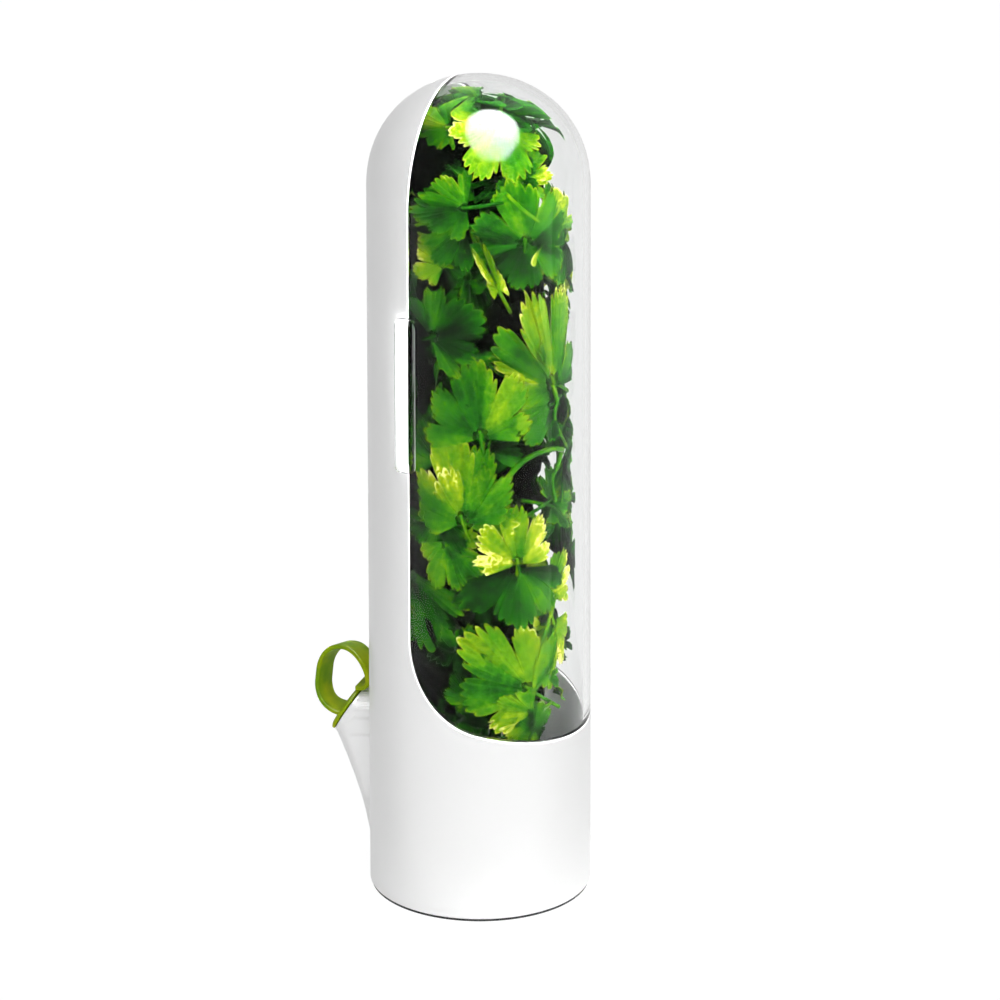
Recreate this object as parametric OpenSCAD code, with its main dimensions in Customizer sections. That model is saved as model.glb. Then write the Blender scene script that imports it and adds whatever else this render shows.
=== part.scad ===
// Upright herb keeper: a white back and water cup, a clear hinged front,
// a filling spout behind and the soft plug that closes it.
// Millimetres. Z is up, the door faces -Y, and the spout points to +Y.
// The origin is on the body's axis, on the face that it stands on.

/* [Body] */
// Outside diameter of the body
body_d = 70; // [64:1:84]
// Wall thickness of the white shell and of the clear door
wall = 2.2; // [1.6:0.1:2.8]
// Overall height, from the foot to the top of the dome
body_h = 271; // [250:1:320]
// Height of the dome
dome_h = 34.5; // [28:0.5:42]
// Power of the dome's curve, where 2 is a plain ellipse
dome_power = 2.1; // [2:0.05:2.6]

/* [Base] */
// Height of the dark pad that shows below the cup
foot_h = 0.8; // [0.6:0.1:2]
// How far the pad's edge lies inside the body's
foot_inset = 0.5; // [0.3:0.1:2]
// Thickness of the base plate's flange
base_flange_t = 2; // [1.5:0.1:3]
// Height of the base plate's spigot above its flange
base_spigot_h = 1.8; // [1:0.1:4]
// Width of the ledge that the base plate's flange is seated on
base_ledge = 1.1; // [0.6:0.1:1.3]
// Gap round the base plate
base_gap = 0.1; // [0.05:0.05:0.3]

/* [Door] */
// How far the seam lies behind the body's axis
seam_back = 11.2; // [6:0.2:14]
// Height of the cup's rim at the very front
rim_front_z = 57.3; // [50:0.5:75]
// Slope of the rim, down towards the front, in degrees
rim_slope = 15; // [8:1:22]
// Radius of the bend between the rim and the upright seam
rim_bend_r = 31; // [20:1:36]
// Gap between the door and the shell
door_gap = 0.3; // [0.2:0.05:0.6]

/* [Pull tab] */
// Length of the pull tab
tab_len = 52; // [30:1:80]
// Height of the pull tab's middle
tab_z = 177; // [150:1:190]
// How far the tab reaches back past the seam
tab_reach = 3.9; // [2:0.1:5]
// How far the tab's root reaches forwards of the seam
tab_root = 2.7; // [2:0.1:5]
// Thickness of the tab
tab_t = 1.5; // [1:0.1:1.6]
// Corner radius of the tab
tab_corner_r = 2; // [1:0.1:2.8]

/* [Hinge] */
// Height of the lower hinge's underside
hinge_low_z = 106; // [100:1:115]
// Height of the upper hinge's underside
hinge_high_z = 206; // [140:1:207]
// Height of one knuckle
knuckle_h = 6; // [4:0.5:8]
// Outside radius of a knuckle
knuckle_r = 2.6; // [2.2:0.1:3.2]
// Gap between knuckles, and between a knuckle and the other piece's wall
knuckle_gap = 0.3; // [0.2:0.05:0.5]
// Radius of a hinge pin
pin_r = 1.25; // [1:0.05:1.5]
// Gap round a pin in its knuckles
pin_play = 0.05; // [0.02:0.01:0.1]
// Radius of a pin's head
pin_head_r = 2; // [1.7:0.1:2.2]
// Height of a pin's head
pin_head_h = 0.8; // [0.5:0.1:1.5]

/* [Spout] */
// Distance of the mouth's centre behind the wall
mouth_reach = 8.6; // [7:0.1:12]
// Height of the mouth's centre
mouth_z = 52.2; // [46:0.5:62]
// Slope of the mouth's face, in degrees from level
mouth_slope = 59; // [45:1:70]
// Outside radius of the mouth
mouth_r = 8.8; // [8:0.1:10]
// Thickness of the spout's wall
spout_wall = 1.8; // [1.2:0.1:2.2]
// Height at which the spout starts to leave the cup
spout_foot_z = 3; // [2:0.5:8]
// Half the spout's width where it leaves the cup
spout_foot_w = 3.5; // [2:0.1:6]

/* [Plug] */
// Thickness of the flange
flange_t = 1.4; // [1:0.1:2.5]
// Gap under the flange
flange_gap = 0.4; // [0.2:0.1:0.8]
// Length of the stem below the mouth
stem_len = 9; // [6:0.5:11]
// Gap between the stem and the throat
stem_gap = 0.8; // [0.5:0.1:1.2]
// Gap between the sealing ribs and the throat
rib_gap = 0.1; // [0.05:0.05:0.3]
// Height of one sealing rib
rib_h = 1.2; // [0.8:0.1:1.8]
// Number of sealing ribs
rib_count = 2; // [1:1:3]

/* [Finger loop] */
// Width of the band
loop_w = 9.5; // [6:0.5:13]
// Thickness of the band
loop_t = 1.5; // [1.2:0.1:2.2]
// Radius of the loop's ends, outside
loop_r = 9.6; // [8:0.1:11]
// Straight length between the loop's ends
loop_straight = 3.6; // [2:0.2:8]
// Gap between the loop and the body's wall
loop_wall_gap = 0.7; // [0.4:0.1:2]
// Bend radius of the loop's front foot, at the band's middle
loop_foot_r = 2.7; // [2:0.1:3.5]

/* [Hidden] */
$fn = 96;
eps = 0.01;

body_r = body_d / 2;
inner_r = body_r - wall;
dome_z = body_h - dome_h;
dome_steps = 24;

// the base, stacked from the floor up
flange_z = foot_h;
ledge_z = flange_z + base_flange_t;
cup_floor_z = ledge_z + base_spigot_h;
ledge_r = inner_r + base_ledge;

// the bend between rim and seam, seen along X: its centre in Y and Z
bend_y = seam_back - rim_bend_r;
bend_z = rim_front_z + (bend_y + body_r) * tan(rim_slope) + rim_bend_r / cos(rim_slope);
bend_steps = 20;
clear_of_body = 20;

// the hinge axis stands just outside the wall, in line with the seam
hinge_reach = body_r + knuckle_gap + knuckle_r;
hinge_x = sqrt(hinge_reach * hinge_reach - seam_back * seam_back);
hinge_turn = atan2(seam_back, hinge_x);
knuckle_pitch = knuckle_h + knuckle_gap;
hinge_h = 2 * knuckle_pitch + knuckle_h;
// where a knuckle's arm meets the wall, in degrees from the hinge
arm_near = 3.5;
arm_far = 13;
// where the arm leaves the knuckle, in degrees round it
arm_outer = 35;
arm_inner = 150;

// the spout's mouth, and its lips in the YZ plane
mouth_y = body_r + mouth_reach;
throat_r = mouth_r - spout_wall;
throat_len = mouth_reach + wall + 2 * throat_r;
down_back = [cos(mouth_slope), -sin(mouth_slope)];
mouth_out = [sin(mouth_slope), cos(mouth_slope)];
// the fairing ends just inside the short tube that forms the mouth
fairing_inset = 0.15;
fairing_end = [mouth_y, mouth_z] - 4 * fairing_inset * mouth_out;
low_lip = fairing_end + (mouth_r - fairing_inset) * down_back;
high_lip = fairing_end - (mouth_r - fairing_inset) * down_back;
// the fairing's underside and hidden upper side are curves through three points
under_bend = [body_r + 0.09 * (mouth_reach + mouth_r), spout_foot_z + 0.42 * (low_lip[1] - spout_foot_z)];
under_start = [body_r + 0.3, spout_foot_z];
top_start = [inner_r - wall, spout_foot_z];
top_bend = [inner_r - 2 * wall, mouth_z - 2 * mouth_r];
spout_steps = 10;
spout_sides = 36;

// the finger loop, seen along X, stands on the upper edge of the plug's flange
flange_edge = [mouth_y, mouth_z] + (flange_gap + flange_t / 2) * mouth_out - mouth_r * down_back;
loop_y = body_r + loop_wall_gap + loop_r;
foot_bend_y = loop_y - loop_r + loop_t / 2 + loop_foot_r;
foot_bend_z = flange_edge[1] + loop_t / 2 + loop_foot_r;
loop_high_z = foot_bend_z;
loop_low_z = loop_high_z - loop_straight;

function dome_point(r, h, a) = [
    r * pow(cos(a), 2 / dome_power),
    dome_z + h * pow(sin(a), 2 / dome_power)
];

function curve3(a, b, c, t) = pow(1 - t, 2) * a + 2 * t * (1 - t) * b + pow(t, 2) * c;

// One ring of the spout's outside, t = 0 at its foot and 1 at its mouth
function spout_ring(t) =
    let (
        under = curve3(under_start, under_bend, low_lip, t),
        top = curve3(top_start, top_bend, high_lip, t),
        middle = (under + top) / 2,
        half = (under - top) / 2,
        half_w = spout_foot_w + (mouth_r - fairing_inset - spout_foot_w) * (1 - pow(1 - t, 2))
    )
    [for (i = [0 : spout_sides - 1])
        let (a = 360 * i / spout_sides)
        [half_w * cos(a), middle[0] + half[0] * sin(a), middle[1] + half[1] * sin(a)]];

// The whole rounded body as a solid, r wide and with a dome h high
module body_form(r, h, bottom_z) {
    rotate_extrude()
        polygon(concat(
            [[0, bottom_z], [r, bottom_z]],
            [for (i = [0 : dome_steps - 1]) dome_point(r, h, 90 * i / dome_steps)],
            [[0, dome_z + h]]
        ));
}

module hollow() {
    body_form(inner_r, dome_h - wall, foot_h - 1);
}

// All that is in front of the seam and above the rim, drawn back by gap
module door_side(gap) {
    far = body_r + clear_of_body;
    r = rim_bend_r - gap;
    turn = 90 - rim_slope;
    low = [bend_y + r * cos(turn), bend_z - r * sin(turn)];
    slope_run = low[0] + far;
    rotate([90, 0, 90])
        linear_extrude(2 * far, center = true)
            polygon(concat(
                [[-far, body_h + clear_of_body], [seam_back - gap, body_h + clear_of_body]],
                [for (i = [0 : bend_steps])
                    let (a = -turn * i / bend_steps)
                    [bend_y + r * cos(a), bend_z + r * sin(a)]],
                [[-far, low[1] - slope_run * tan(rim_slope)]]
            ));
}

// side is 1 for the shell's knuckles and -1 for the door's
module knuckle(side) {
    rotate([0, 0, hinge_turn])
        linear_extrude(knuckle_h) {
            translate([hinge_reach, 0])
                circle(knuckle_r);
            polygon([
                [hinge_reach + knuckle_r * cos(arm_outer), side * knuckle_r * sin(arm_outer)],
                [body_r * cos(arm_far), side * body_r * sin(arm_far)],
                [(body_r - wall / 2) * cos(arm_far), side * (body_r - wall / 2) * sin(arm_far)],
                [(body_r - wall / 2) * cos(arm_near), side * (body_r - wall / 2) * sin(arm_near)],
                [hinge_reach + knuckle_r * cos(arm_inner), side * knuckle_r * sin(arm_inner)],
                [hinge_reach, 0]
            ]);
        }
}

module at_hinges() {
    for (z = [hinge_low_z, hinge_high_z])
        translate([0, 0, z])
            children();
}

module hinge_bore() {
    translate([hinge_x, seam_back, -1])
        cylinder(r = pin_r + pin_play, h = hinge_h + 2);
}

// Puts +Z along the spout, away from the body, with its origin at the mouth
module at_mouth() {
    translate([0, mouth_y, mouth_z])
        rotate([-mouth_slope, 0, 0])
            children();
}

module spout_outside() {
    rings = [for (i = [0 : spout_steps]) spout_ring(i / spout_steps)];
    last = spout_steps * spout_sides;
    polyhedron(
        points = [for (ring = rings) each ring],
        faces = concat(
            [[for (i = [0 : spout_sides - 1]) i]],
            [for (k = [0 : spout_steps - 1], i = [0 : spout_sides - 1])
                let (j = (i + 1) % spout_sides, a = k * spout_sides, b = a + spout_sides)
                each [[a + i, b + i, b + j], [a + i, b + j, a + j]]],
            [[for (i = [spout_sides - 1 : -1 : 0]) last + i]]
        )
    );
    // the short tube round the throat
    at_mouth()
        translate([0, 0, -mouth_reach - wall])
            cylinder(r = mouth_r, h = mouth_reach + wall);
}

module back_shell() {
    color("white")
    difference() {
        union() {
            difference() {
                body_form(body_r, dome_h, foot_h);
                door_side(0);
            }
            spout_outside();
            at_hinges()
                for (level = [0, 2])
                    translate([0, 0, level * knuckle_pitch])
                        knuckle(1);
        }
        hollow();
        translate([0, 0, foot_h - 1])
            cylinder(r = ledge_r, h = ledge_z - foot_h + 1);
        at_mouth()
            translate([0, 0, -throat_len])
                cylinder(r = throat_r, h = throat_len + 1);
        at_hinges()
            hinge_bore();
    }
}

module base_plate() {
    color("white") {
        translate([0, 0, flange_z])
            cylinder(r = ledge_r - base_gap, h = base_flange_t);
        translate([0, 0, flange_z])
            cylinder(r = inner_r - base_gap, h = base_flange_t + base_spigot_h);
    }
}

module foot_pad() {
    color("dimgray")
    cylinder(r = body_r - foot_inset, h = foot_h);
}

module pull_tab() {
    front_y = seam_back - tab_root;
    back_y = seam_back + tab_reach;
    translate([-body_r, 0, tab_z - tab_len / 2])
        rotate([90, 0, 90])
            linear_extrude(tab_t)
                for (y = [front_y + tab_corner_r, back_y - tab_corner_r],
                     z = [tab_corner_r, tab_len - tab_corner_r])
                    translate([y, z])
                        circle(tab_corner_r);
    translate([-body_r, front_y + tab_corner_r, tab_z - tab_len / 2])
        cube([tab_t, back_y - front_y - 2 * tab_corner_r, tab_len]);
    translate([-body_r, front_y, tab_z - tab_len / 2 + tab_corner_r])
        cube([tab_t, back_y - front_y, tab_len - 2 * tab_corner_r]);
    // the root that carries the tab on the door's wall
    translate([-body_r, front_y, tab_z - tab_len / 2 + tab_corner_r])
        cube([tab_t + wall / 2, tab_root - door_gap, tab_len - 2 * tab_corner_r]);
}

module front_door() {
    color("lightcyan", 0.5)
    difference() {
        union() {
            difference() {
                intersection() {
                    body_form(body_r, dome_h, foot_h);
                    door_side(door_gap);
                }
                hollow();
            }
            pull_tab();
            at_hinges()
                translate([0, 0, knuckle_pitch])
                    knuckle(-1);
        }
        at_hinges()
            hinge_bore();
    }
}

module hinge_pin() {
    translate([hinge_x, seam_back, 0])
        cylinder(r = pin_r, h = hinge_h);
    translate([hinge_x, seam_back, hinge_h])
        cylinder(r = pin_head_r, h = pin_head_h);
}

module hinge_pin_upper() {
    color("silver")
    translate([0, 0, hinge_high_z])
        hinge_pin();
}

module hinge_pin_lower() {
    color("silver")
    translate([0, 0, hinge_low_z])
        hinge_pin();
}

// The loop's outline, seen along X: round ends, and in front a foot that
// curls back onto the flange
module loop_outline() {
    inner = loop_r - loop_t;
    difference() {
        union() {
            for (z = [loop_low_z, loop_high_z])
                translate([loop_y, z])
                    circle(loop_r);
            translate([loop_y - loop_r, loop_low_z])
                square([2 * loop_r, loop_straight]);
        }
        for (z = [loop_low_z, loop_high_z])
            translate([loop_y, z])
                circle(inner);
        translate([loop_y - inner, loop_low_z])
            square([2 * inner, loop_straight]);
        translate([loop_y - 2 * loop_r, foot_bend_z - 2 * loop_r])
            square([2 * loop_r, 2 * loop_r]);
    }
    translate([foot_bend_y, foot_bend_z])
        difference() {
            circle(loop_foot_r + loop_t / 2);
            circle(loop_foot_r - loop_t / 2);
            translate([-2 * loop_foot_r, 0])
                square(4 * loop_foot_r);
            translate([0, -2 * loop_foot_r])
                square(4 * loop_foot_r);
        }
    // the foot's end lies on the flange's edge and reaches down its face
    polygon([
        [foot_bend_y, flange_edge[1]],
        [foot_bend_y, flange_edge[1] + loop_t],
        flange_edge + [flange_t / 2, loop_t],
        flange_edge + flange_t * down_back + flange_t / 2 * mouth_out,
        flange_edge
    ]);
}

module spout_plug() {
    color("yellowgreen") {
        at_mouth() {
            translate([0, 0, flange_gap])
                cylinder(r = mouth_r, h = flange_t);
            translate([0, 0, -stem_len])
                cylinder(r = throat_r - stem_gap, h = stem_len + flange_gap + eps);
            for (i = [1 : rib_count])
                translate([0, 0, -stem_len * i / (rib_count + 1) - rib_h / 2])
                    cylinder(r = throat_r - rib_gap, h = rib_h);
        }
        rotate([90, 0, 90])
            linear_extrude(loop_w, center = true)
                loop_outline();
    }
}

back_shell();
base_plate();
foot_pad();
front_door();
hinge_pin_upper();
hinge_pin_lower();
spout_plug();
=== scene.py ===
from collections import namedtuple
from math import acos, asin, atan2, cos, degrees, exp, hypot, pi, radians, sin, sqrt, tan, tanh

import bmesh
import bpy
import numpy as np
from mathutils import Matrix, Vector
from mathutils.bvhtree import BVHTree


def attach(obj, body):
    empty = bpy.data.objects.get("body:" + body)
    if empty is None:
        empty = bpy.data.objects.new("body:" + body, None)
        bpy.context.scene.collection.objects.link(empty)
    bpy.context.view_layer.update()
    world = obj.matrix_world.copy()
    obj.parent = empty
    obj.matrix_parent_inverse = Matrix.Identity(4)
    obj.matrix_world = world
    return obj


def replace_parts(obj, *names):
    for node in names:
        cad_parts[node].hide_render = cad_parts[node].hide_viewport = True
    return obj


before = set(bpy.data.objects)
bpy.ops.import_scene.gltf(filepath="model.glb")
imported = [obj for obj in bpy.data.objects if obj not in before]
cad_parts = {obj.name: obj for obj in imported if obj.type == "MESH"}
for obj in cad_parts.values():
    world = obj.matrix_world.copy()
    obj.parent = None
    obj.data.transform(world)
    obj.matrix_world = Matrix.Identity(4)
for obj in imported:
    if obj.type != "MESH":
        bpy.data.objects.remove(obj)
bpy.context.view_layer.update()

MM = 0.001
rng = np.random.default_rng(7)

# ---------------- dimensions, in mm
BODY_R = 35.0
WALL = 2.2
DOME_H = 34.5
DOME_Z = 236.5
DOME_POWER = 2.1
SEAM_Y = 11.2
BEND_R = 31.0
RIM_SLOPE = radians(15)
RIM_Z = 57.3
DOOR_GAP = 0.3
FOOT_Z = 0.8
LEDGE_Z = 2.8
LEDGE_R = 33.9
BEND_Y = SEAM_Y - BEND_R
BEND_Z = RIM_Z + (BEND_Y + BODY_R) * tan(RIM_SLOPE) + BEND_R / cos(RIM_SLOPE)

MOUTH = np.array([0.0, 43.6, 52.2])
MOUTH_TILT = radians(59)
MOUTH_OUT = np.array([0.0, sin(MOUTH_TILT), cos(MOUTH_TILT)])
MOUTH_DOWN = np.array([0.0, cos(MOUTH_TILT), -sin(MOUTH_TILT)])
MOUTH_R = 8.8
THROAT_R = 7.0

HINGE_REACH = 37.9
HINGE_TURN = asin(SEAM_Y / HINGE_REACH)
KNUCKLE_R = 2.599  # a hair under the solid's, to stay inside its box
KNUCKLE_H = 6.0
KNUCKLE_PITCH = 6.3
HINGE_Z = (106.0, 206.0)
KNUCKLE_EDGE = 0.3
ARM_ANGLE = 13


# ---------------- mesh helpers
def link(obj):
    bpy.context.scene.collection.objects.link(obj)
    return obj


def new_mesh(name, verts, faces, smooth=True):
    """verts in mm."""
    me = bpy.data.meshes.new(name)
    me.from_pydata([tuple(float(c) * MM for c in v) for v in verts], [], [tuple(f) for f in faces])
    me.update()
    if smooth:
        me.polygons.foreach_set("use_smooth", [True] * len(me.polygons))
    return link(bpy.data.objects.new(name, me))


def turns(count):
    """The angles of that many even steps round."""
    return [2 * pi * i / count for i in range(count)]


def grid_faces(rows, cols, start=0, wrap=False):
    faces = []
    last = cols if wrap else cols - 1
    for k in range(rows - 1):
        a = start + k * cols
        b = a + cols
        for i in range(last):
            j = (i + 1) % cols
            faces.append((a + i, a + j, b + j, b + i))
    return faces


def clean_up(obj, dist=1e-6, sharp=None):
    """Welds, drops empty faces, turns the faces outwards and marks sharp edges."""
    bm = bmesh.new()
    bm.from_mesh(obj.data)
    bmesh.ops.remove_doubles(bm, verts=bm.verts, dist=dist)
    bmesh.ops.dissolve_degenerate(bm, edges=bm.edges, dist=1e-8)
    loose = [v for v in bm.verts if not v.link_faces]
    bmesh.ops.delete(bm, geom=loose, context="VERTS")
    bmesh.ops.recalc_face_normals(bm, faces=bm.faces)
    bm.to_mesh(obj.data)
    bm.free()
    obj.data.polygons.foreach_set("use_smooth", [True] * len(obj.data.polygons))
    if sharp is not None:
        obj.data.set_sharp_from_angle(angle=radians(sharp))
    return obj


def apply_modifiers(obj):
    dg = bpy.context.evaluated_depsgraph_get()
    me = bpy.data.meshes.new_from_object(obj.evaluated_get(dg))
    obj.modifiers.clear()
    obj.data = me
    return obj


def boolean(obj, other, kind):
    m = obj.modifiers.new("cut", "BOOLEAN")
    m.object = other
    m.operation = kind
    m.solver = "EXACT"
    apply_modifiers(obj)
    bpy.data.objects.remove(other)
    return obj


def bevel(obj, width, angle):
    m = obj.modifiers.new("edge", "BEVEL")
    m.width = width * MM
    m.segments = 3
    m.limit_method = "ANGLE"
    m.angle_limit = radians(angle)
    apply_modifiers(obj)
    return clean_up(obj, sharp=50)


def revolve(name, profile, sides):
    """Turns a profile of (r, z) points, from axis to axis, about the axis of the spout's mouth."""
    verts = []
    for r, z in profile:
        verts += [(r * cos(a), r * sin(a), z) for a in turns(sides)]
    faces = grid_faces(len(profile), sides, wrap=True)
    return clean_up(new_mesh(name, at_mouth(verts), faces), sharp=50)


def rounded(points, radius, steps=5):
    """Rounds the inner corners of an open outline of (r, z) points."""
    out = [np.array(points[0], float)]
    for k in range(1, len(points) - 1):
        p, a, b = (np.array(points[i], float) for i in (k, k - 1, k + 1))
        da, db = a - p, b - p
        reach = min(radius, 0.45 * np.linalg.norm(da), 0.45 * np.linalg.norm(db))
        s = p + da / np.linalg.norm(da) * reach
        e = p + db / np.linalg.norm(db) * reach
        for t in np.linspace(0, 1, steps):
            out.append((1 - t) ** 2 * s + 2 * t * (1 - t) * p + t * t * e)
    out.append(np.array(points[-1], float))
    return out


def tangents(line):
    out = np.gradient(line, axis=0)
    return out / np.linalg.norm(out, axis=1)[:, None]


def at_mouth(points):
    """From local coordinates, Z out of the mouth and Y down its face, to the frame."""
    p = np.asarray(points, float)
    return MOUTH + p[:, :1] * np.array([1.0, 0, 0]) + p[:, 1:2] * MOUTH_DOWN + p[:, 2:] * MOUTH_OUT


# ---------------- materials
def material(name, **values):
    m = bpy.data.materials.new(name)
    m.use_nodes = True
    shader = m.node_tree.nodes["Principled BSDF"]
    for key, value in values.items():
        shader.inputs[key.replace("_", " ")].default_value = value
    return m, m.node_tree, shader


def node(tree, kind, **values):
    n = tree.nodes.new(kind)
    for key, value in values.items():
        if key in n.inputs:
            n.inputs[key].default_value = value
        else:
            setattr(n, key, value)
    return n


def wire(source, target):
    source.id_data.links.new(source, target)


def on_object(tree, texture):
    """Puts the texture on object coordinates."""
    coords = node(tree, "ShaderNodeTexCoord")
    wire(coords.outputs["Object"], texture.inputs["Vector"])
    return texture


def object_noise(tree, scale, detail, rough=0.5):
    noise = node(tree, "ShaderNodeTexNoise", Scale=scale, Detail=detail, Roughness=rough)
    return on_object(tree, noise).outputs["Fac"]


def add_colour(tree, shader, source, stops):
    """Colours the shader by the source, with a ramp of (position, colour) stops."""
    r = node(tree, "ShaderNodeValToRGB")
    els = r.color_ramp.elements
    while len(els) < len(stops):
        els.new(0.5)
    for e, (pos, col) in zip(els, stops):
        e.position = pos
        e.color = (*col, 1)
    wire(source, r.inputs["Fac"])
    wire(r.outputs["Color"], shader.inputs["Base Color"])


def add_bump(tree, shader, source, strength, distance):
    b = node(tree, "ShaderNodeBump", Strength=strength, Distance=distance)
    wire(source, b.inputs["Height"])
    wire(b.outputs["Normal"], shader.inputs["Normal"])


def map_range(tree, source, low, high, full=1.0):
    """From low where the source is 0 to high where it is full."""
    m = node(tree, "ShaderNodeMapRange")
    m.inputs["From Max"].default_value = full
    m.inputs["To Min"].default_value = low
    m.inputs["To Max"].default_value = high
    wire(source, m.inputs["Value"])
    return m.outputs["Result"]


def math_node(tree, operation, *values):
    """A math node whose inputs are numbers or other nodes' sockets."""
    m = node(tree, "ShaderNodeMath", operation=operation)
    for slot, value in zip(m.inputs, values):
        if isinstance(value, (int, float)):
            slot.default_value = value
        else:
            wire(value, slot)
    return m.outputs[0]


def vary_roughness(tree, shader, source, low, high):
    wire(map_range(tree, source, low, high), shader.inputs["Roughness"])


def add_grain(tree, shader, source, rough, strength, distance):
    """A fine grain in both the roughness, from low to high, and the bump."""
    vary_roughness(tree, shader, source, *rough)
    add_bump(tree, shader, source, strength, distance)


def moulded_white():
    m, tree, shader = material("white_moulding", Specular_IOR_Level=0.15)
    big = object_noise(tree, 18, 2)
    add_colour(tree, shader, big, [(0.3, (0.915, 0.917, 0.915)), (0.7, (0.935, 0.936, 0.935))])
    add_grain(tree, shader, object_noise(tree, 900, 2), (0.26, 0.34), 0.05, 0.0001)
    return m


def clear_plastic():
    m, tree, shader = material(
        "clear_moulding",
        Base_Color=(0.985, 0.992, 0.988, 1),
        IOR=1.33,
        Transmission_Weight=1.0,
        Specular_Tint=(0.05, 0.05, 0.05, 1),
    )
    vary_roughness(tree, shader, object_noise(tree, 260, 4), 0.0, 0.02)
    return m


def silicone():
    m, tree, shader = material(
        "green_silicone_skin",
        Subsurface_Weight=0.15,
        Subsurface_Radius=(0.003, 0.004, 0.0006),
        Subsurface_Scale=0.4,
        Specular_IOR_Level=0.03,
    )
    big = object_noise(tree, 90, 3)
    stops = [(0.3, (0.09, 0.25, 0.001)), (0.5, (0.2, 0.34, 0.001)), (0.72, (0.4, 0.48, 0.002))]
    add_colour(tree, shader, big, stops)
    add_grain(tree, shader, object_noise(tree, 1400, 2), (0.38, 0.52), 0.12, 0.0001)
    return m


def rubber():
    m, tree, shader = material("foot_rubber_skin", Specular_IOR_Level=0.3)
    fine = object_noise(tree, 1200, 3)
    add_colour(tree, shader, fine, [(0.3, (0.02, 0.02, 0.021)), (0.7, (0.045, 0.045, 0.047))])
    add_grain(tree, shader, fine, (0.65, 0.85), 0.3, 0.0002)
    return m


def steel():
    m, tree, shader = material("drawn_steel", Metallic=1.0)
    stretch = on_object(tree, node(tree, "ShaderNodeMapping"))
    stretch.inputs["Scale"].default_value = (3000, 3000, 60)
    noise = node(tree, "ShaderNodeTexNoise", Scale=1.0, Detail=2.0)
    wire(stretch.outputs["Vector"], noise.inputs["Vector"])
    drawn = noise.outputs["Fac"]
    add_colour(tree, shader, drawn, [(0.3, (0.58, 0.58, 0.6)), (0.7, (0.75, 0.75, 0.77))])
    add_grain(tree, shader, drawn, (0.22, 0.4), 0.1, 0.00005)
    return m


PATCH_SHARE = 0.75
SPECKLE_SHARE = 0.3
TONE_SHIFT = -0.635
VEIN_NET = (0.075, -0.02)
VEIN_WIDTH = 0.09


def leaf_green(name, stops, subsurface, gloss):
    """The leaf attribute is the tone, which holds both leaf colour and painted light: from painted deep
    shade, near black, at 0 to pale green with painted highlights at 1.
    """
    m, tree, shader = material(
        name,
        Specular_IOR_Level=gloss,
        Subsurface_Weight=subsurface,
        Subsurface_Radius=(0.0015, 0.003, 0.0004),
        Subsurface_Scale=0.3,
    )
    tone = node(tree, "ShaderNodeAttribute", attribute_name="leaf")
    patches = object_noise(tree, 115, 5, 0.65)
    fine = object_noise(tree, 650, 3)
    cells = on_object(tree, node(tree, "ShaderNodeTexVoronoi", feature="DISTANCE_TO_EDGE", Scale=330.0))
    centred = math_node(tree, "MULTIPLY_ADD", patches, PATCH_SHARE, TONE_SHIFT)
    total = math_node(tree, "ADD", tone.outputs["Fac"], centred)
    speckled = math_node(tree, "MULTIPLY_ADD", fine, SPECKLE_SHARE, total)
    net = map_range(tree, cells.outputs["Distance"], *VEIN_NET, full=VEIN_WIDTH)
    add_colour(tree, shader, math_node(tree, "ADD", speckled, net), stops)
    vary_roughness(tree, shader, fine, 0.42, 0.6)
    add_bump(tree, shader, object_noise(tree, 320, 4), 0.5, 0.0007)
    return m


WHITE = moulded_white()
CLEAR = clear_plastic()
GREEN = silicone()
RUBBER = rubber()
STEEL = steel()


def paint(obj, mat):
    obj.data.materials.clear()
    obj.data.materials.append(mat)
    return obj


# ---------------- the seam
# points on the rim's slope, its bend, the upright and the dome
SEAM_COUNTS = (26, 26, 60, 40)
BAND = 2.0
EDGE_R = 0.35


def dome_height(rho, r, h):
    c = np.clip(rho / r, 0, 1) ** (DOME_POWER / 2)
    return DOME_Z + h * np.sqrt(np.clip(1 - c * c, 0, 1)) ** (2 / DOME_POWER)


def seam_path(t, d):
    """Points from the front of the rim to the top of the seam, on the +X side.

    t is the distance from the seam towards the shell, and d the depth below the outside."""
    n_slope, n_arc, n_up, n_dome = SEAM_COUNTS
    r, h = BODY_R - d, DOME_H - d
    bend = BEND_R + t
    join_y = BEND_Y + bend * sin(RIM_SLOPE)
    join_z = BEND_Z - bend * cos(RIM_SLOPE)
    a = np.linspace(pi, acos(join_y / r), n_slope, endpoint=False)
    y1 = r * np.cos(a)
    z1 = join_z - (join_y - y1) * tan(RIM_SLOPE)
    b = np.linspace(RIM_SLOPE - pi / 2, 0, n_arc, endpoint=False)
    y2, z2 = BEND_Y + bend * np.cos(b), BEND_Z + bend * np.sin(b)
    z3 = np.linspace(BEND_Z, DOME_Z, n_up, endpoint=False)
    y3 = np.full(n_up, SEAM_Y + t)
    y = np.concatenate([y1, y2, y3])
    x = np.sqrt(np.clip(r * r - y * y, 0, None))
    z = np.concatenate([z1, z2, z3])
    x[0] = 0
    c = SEAM_Y + t
    x4 = sqrt(r * r - c * c) * np.cos(np.linspace(0, pi / 2, n_dome))
    x4[-1] = 0
    z4 = dome_height(np.hypot(x4, c), r, h)
    return np.vstack([np.column_stack([x, y, z]), np.column_stack([x4, np.full(n_dome, c), z4])])


def edge_loops(side, gap):
    """The loops (t, d) from the outside band over the rounded edge to the inside band."""
    quarter = np.linspace(0, pi / 2, 4)
    loops = [(BAND, 0), (BAND * 0.5, 0)]
    loops += [(gap + EDGE_R * (1 - sin(a)), EDGE_R * (1 - cos(a))) for a in quarter]
    loops += [(gap, WALL / 2)]
    loops += [(gap + EDGE_R * (1 - cos(a)), WALL - EDGE_R * (1 - sin(a))) for a in quarter]
    loops += [(BAND * 0.5, WALL), (BAND, WALL)]
    return [seam_path(side * t, d) for t, d in loops]


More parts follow.
